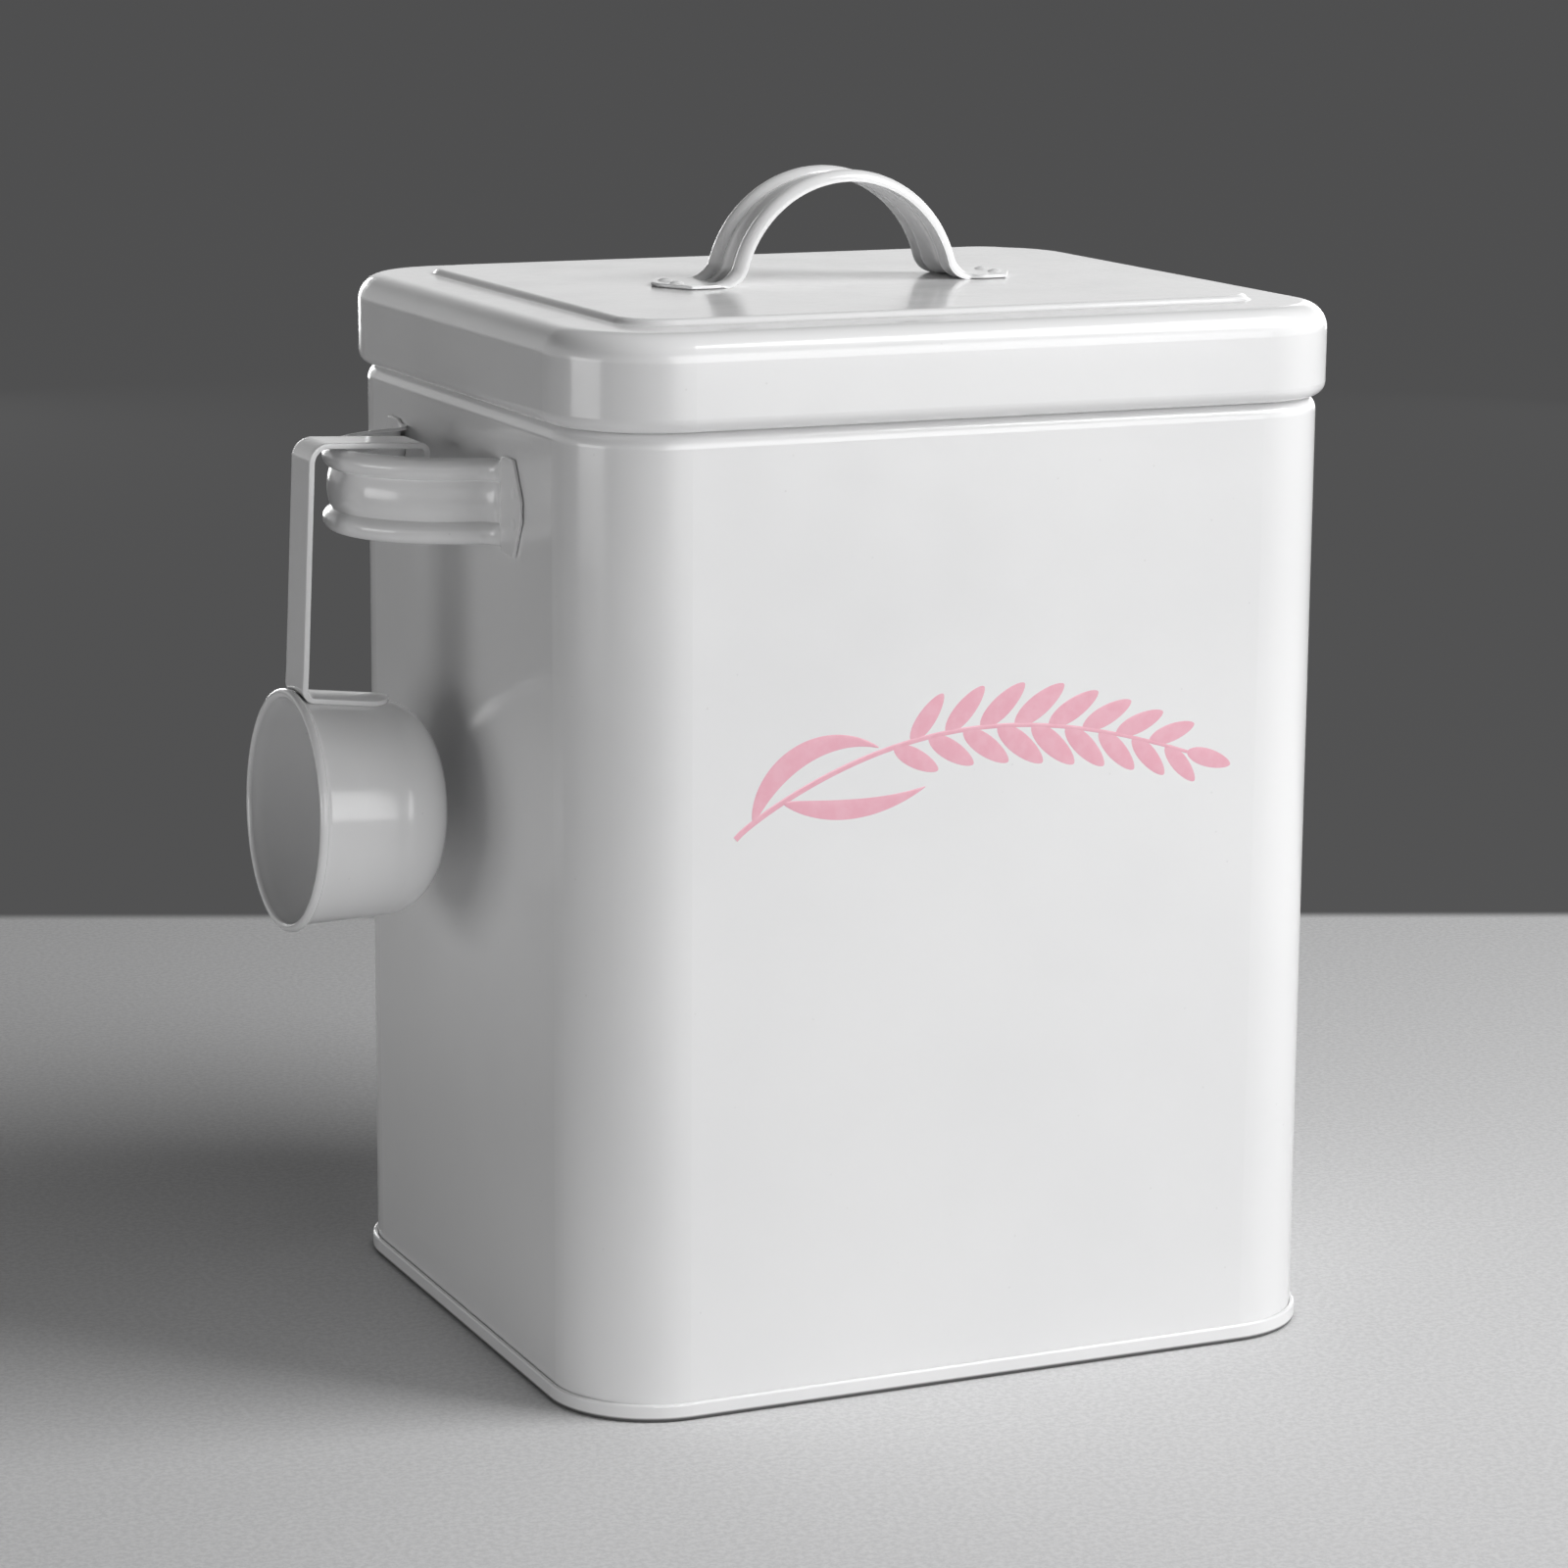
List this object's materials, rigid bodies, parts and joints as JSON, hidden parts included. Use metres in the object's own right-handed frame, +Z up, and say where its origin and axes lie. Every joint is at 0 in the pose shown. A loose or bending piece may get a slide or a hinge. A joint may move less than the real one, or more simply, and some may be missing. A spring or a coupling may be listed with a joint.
{
  "type": "lidded rice bin with hanging scoop",
  "caption": "Enamelled sheet steel rice bin with a lift-off lid, strap handles on lid and sides, and a measuring scoop that hangs by its hook from a side handle.",
  "frame": {"origin": "middle of the base ring that the bin stands on, at table level", "axes": "+Z up, -Y the front, -X the side that the scoop hangs on"},
  "size_m": [0.278, 0.1806, 0.2897],
  "materials": {
    "body_enamel": "white gloss enamel over sheet steel",
    "bottom_enamel": "white gloss enamel over sheet steel, rubbed where it stands",
    "lid_enamel": "white gloss enamel over sheet steel",
    "side_handle_enamel": "white gloss enamel over pressed strap",
    "lid_handle_enamel": "white gloss enamel over pressed strap",
    "rivet_enamel": "white gloss enamel over domed rivet heads",
    "scoop_cup_enamel": "white gloss enamel inside and out",
    "scoop_strap_enamel": "white gloss enamel over steel strap",
    "print": "pink print on the enamel"
  },
  "bodies": {
    "bin": {"body_shell": "body_enamel", "bottom_panel": "bottom_enamel", "left_handle": "side_handle_enamel", "right_handle": "side_handle_enamel"},
    "lid": {"lid_shell": "lid_enamel", "lid_handle": "lid_handle_enamel", "lid_rivets": "rivet_enamel"},
    "scoop": {"scoop_cup": "scoop_cup_enamel", "scoop_handle": "scoop_strap_enamel"}
  },
  "joints": [
    {"name": "lid_lift", "type": "slide", "parent": "bin", "child": "lid", "axis": [0, 0, 1], "range_m": [0, 0.08]},
    {"name": "scoop_unhook", "type": "slide", "parent": "bin", "child": "scoop", "axis": [-0.7071, 0, 0.7071], "range_m": [0, 0.15]}
  ]
}
